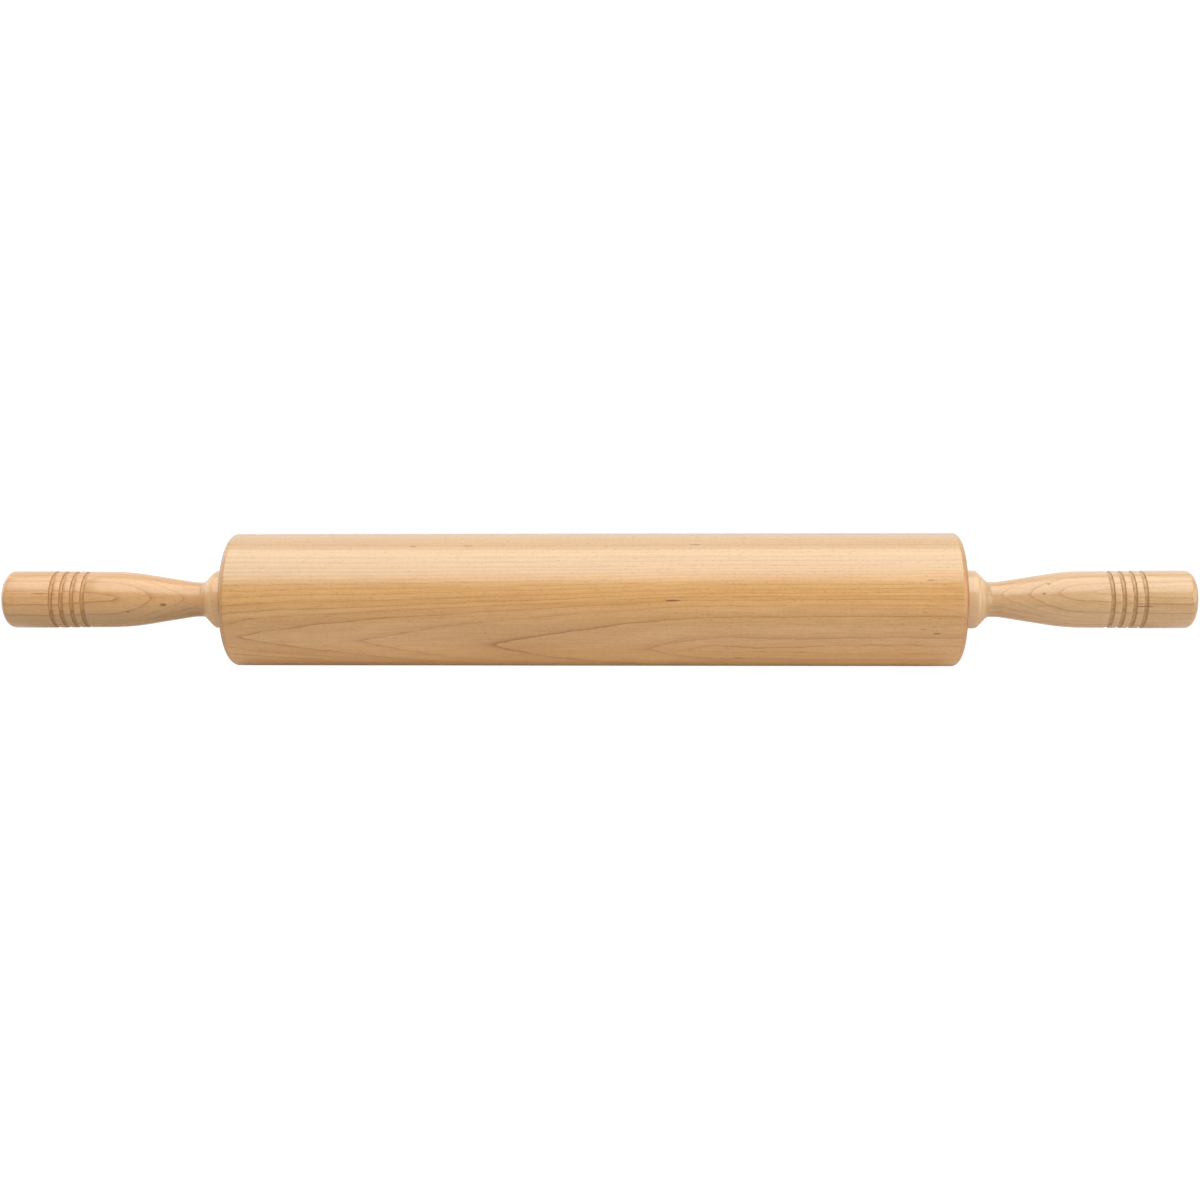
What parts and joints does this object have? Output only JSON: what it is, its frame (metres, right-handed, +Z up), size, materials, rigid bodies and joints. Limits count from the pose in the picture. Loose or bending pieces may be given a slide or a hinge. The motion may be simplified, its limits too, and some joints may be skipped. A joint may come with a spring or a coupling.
{
  "type": "rolling pin",
  "caption": "Wooden rolling pin: a round-edged barrel that turns on ball bearings around a steel rod clamped between two turned handles with grooved grips.",
  "frame": {"origin": "centre of the barrel on the rod's axis, which is also the centre of the whole pin", "axes": "+X along the rod towards the right handle, +Z up, Y across; the pin rests on the barrel's side at z = -34.925 mm"},
  "size_m": [0.6224, 0.0698, 0.0698],
  "materials": {
    "barrel_maple": "satin clear lacquer over pale maple, fine straight and arched grain",
    "handle_maple": "satin clear lacquer over pale maple, turned",
    "plug_maple": "satin clear lacquer over maple end grain",
    "rod_steel": "turned steel",
    "bearing_steel": "ground bearing steel",
    "ball_steel": "polished bearing steel",
    "shield_steel": "pressed sheet steel",
    "cage_nylon": "natural nylon",
    "zinc_steel": "zinc plated steel"
  },
  "bodies": {
    "handles": {"axle_rod": "rod_steel", "left_handle": "handle_maple", "right_handle": "handle_maple", "left_bearing_inner_race": "bearing_steel", "right_bearing_inner_race": "bearing_steel", "left_spacer": "rod_steel", "right_spacer": "rod_steel", "left_thrust_plate": "zinc_steel", "right_thrust_plate": "zinc_steel", "left_washer": "zinc_steel", "right_washer": "zinc_steel", "left_lock_nut": "zinc_steel", "right_lock_nut": "zinc_steel", "left_end_plug": "plug_maple", "right_end_plug": "plug_maple"},
    "barrel": {"barrel": "barrel_maple", "left_bearing_outer_race": "bearing_steel", "right_bearing_outer_race": "bearing_steel", "left_bearing_outer_shield": "shield_steel", "right_bearing_outer_shield": "shield_steel", "left_bearing_inner_shield": "shield_steel", "right_bearing_inner_shield": "shield_steel"},
    "left_ball_set": {"left_bearing_balls": "ball_steel", "left_bearing_cage": "cage_nylon"},
    "right_ball_set": {"right_bearing_balls": "ball_steel", "right_bearing_cage": "cage_nylon"}
  },
  "joints": [
    {"name": "barrel_spin", "type": "hinge", "parent": "handles", "child": "barrel", "pos_m": [0, 0, 0], "axis": [1, 0, 0], "continuous": true},
    {"name": "left_ball_orbit", "type": "hinge", "parent": "handles", "child": "left_ball_set", "pos_m": [-0.1864, 0, 0], "axis": [1, 0, 0], "continuous": true},
    {"name": "right_ball_orbit", "type": "hinge", "parent": "handles", "child": "right_ball_set", "pos_m": [0.1864, 0, 0], "axis": [1, 0, 0], "continuous": true}
  ],
  "couplings": [
    {"joint": "left_ball_orbit", "follows": "barrel_spin", "ratio": 0.6323},
    {"joint": "right_ball_orbit", "follows": "barrel_spin", "ratio": 0.6323}
  ]
}
